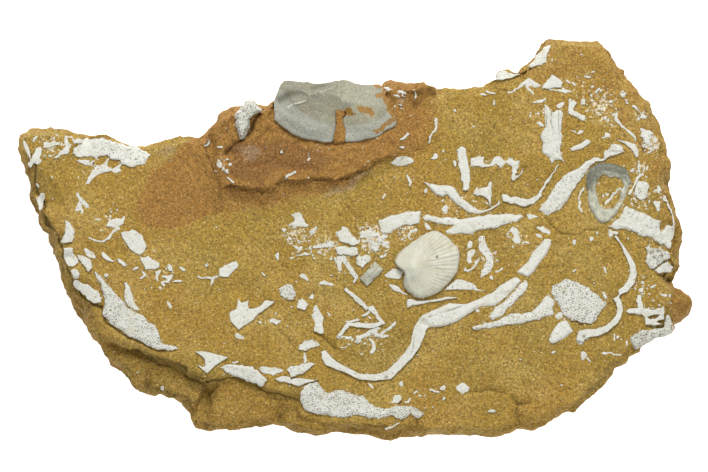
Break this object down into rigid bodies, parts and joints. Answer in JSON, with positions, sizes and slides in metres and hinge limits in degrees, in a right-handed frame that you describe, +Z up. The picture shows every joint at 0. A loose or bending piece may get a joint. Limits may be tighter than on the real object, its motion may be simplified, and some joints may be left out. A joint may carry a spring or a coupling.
{
  "type": "bryozoan fossil slab",
  "caption": "Irregular slab of ochre siltstone, lying face up, its face strewn with white bryozoan fragments, brachiopod shells and crinoid pieces.",
  "frame": {"origin": "centre of the slab's plan, on the plane that it rests on", "axes": "+X along the slab's length, to the right as the fossil face is looked down on; +Y across it, towards the edge with the large grey shell; +Z up, out of the fossil face"},
  "size_m": [0.12, 0.0718, 0.0228],
  "materials": {
    "siltstone": "matte, finely granular",
    "bryozoan": "matte, finely pitted",
    "ribbed_shell": "matte, ribbed",
    "grey_shell": "dull, streaked",
    "crinoid": "dull, mottled"
  },
  "bodies": {
    "root": {"siltstone_slab": "siltstone", "antler_bryozoan": "bryozoan", "arched_sliver": "bryozoan", "bottom_bryozoan_branch": "bryozoan", "bryozoan_leaf_head": "bryozoan", "bryozoan_stub": "bryozoan", "crescent_under_ribbed_shell": "bryozoan", "crinoid_ring": "crinoid", "crinoid_stem_piece": "crinoid", "crowned_chip": "bryozoan", "curved_shell_edge": "bryozoan", "flat_chip_south": "bryozoan", "forked_chip": "bryozoan", "frame_shaped_twig": "bryozoan", "grey_brachiopod_valve": "grey_shell", "heart_chip": "bryozoan", "hooked_chip_northeast": "bryozoan", "hooked_shell": "bryozoan", "leaf_chip_centre_west": "bryozoan", "leaf_chip_south": "bryozoan", "lens_leaf_west": "bryozoan", "long_bar_left": "bryozoan", "long_bar_right": "bryozoan", "long_bryozoan_leaf": "bryozoan", "long_tailed_ribbon": "bryozoan", "lower_right_bryozoan": "bryozoan", "lower_rod": "bryozoan", "network_branch_middle": "bryozoan", "network_branch_north": "bryozoan", "north_edge_knob": "bryozoan", "northwest_bryozoan_sheet": "bryozoan", "notched_chip_west": "bryozoan", "oblique_chip": "bryozoan", "oval_bryozoan_colony": "bryozoan", "oval_chip": "bryozoan", "oval_chip_west": "bryozoan", "peaked_flake": "bryozoan", "porous_chip_east": "bryozoan", "ribbed_brachiopod": "ribbed_shell", "ridge_chip_west": "bryozoan", "rim_chip_west": "bryozoan", "round_speckled_colony": "bryozoan", "s_curve_lower": "bryozoan", "s_curve_upper": "bryozoan", "sinuous_blade_lower": "bryozoan", "sinuous_blade_upper": "bryozoan", "small_smooth_shell": "bryozoan", "southwest_branch": "bryozoan", "speckled_colony": "bryozoan", "square_chip": "bryozoan", "straight_stick": "bryozoan", "tall_bryozoan_frond": "bryozoan", "tapered_blade": "bryozoan", "tongue_chip_south": "bryozoan", "upper_rod": "bryozoan", "west_bryozoan_leaf": "bryozoan", "west_leaf_fork": "bryozoan", "white_bryozoan_block": "bryozoan", "white_lobe": "bryozoan", "zigzag_bryozoan": "bryozoan"}
  },
  "joints": []
}
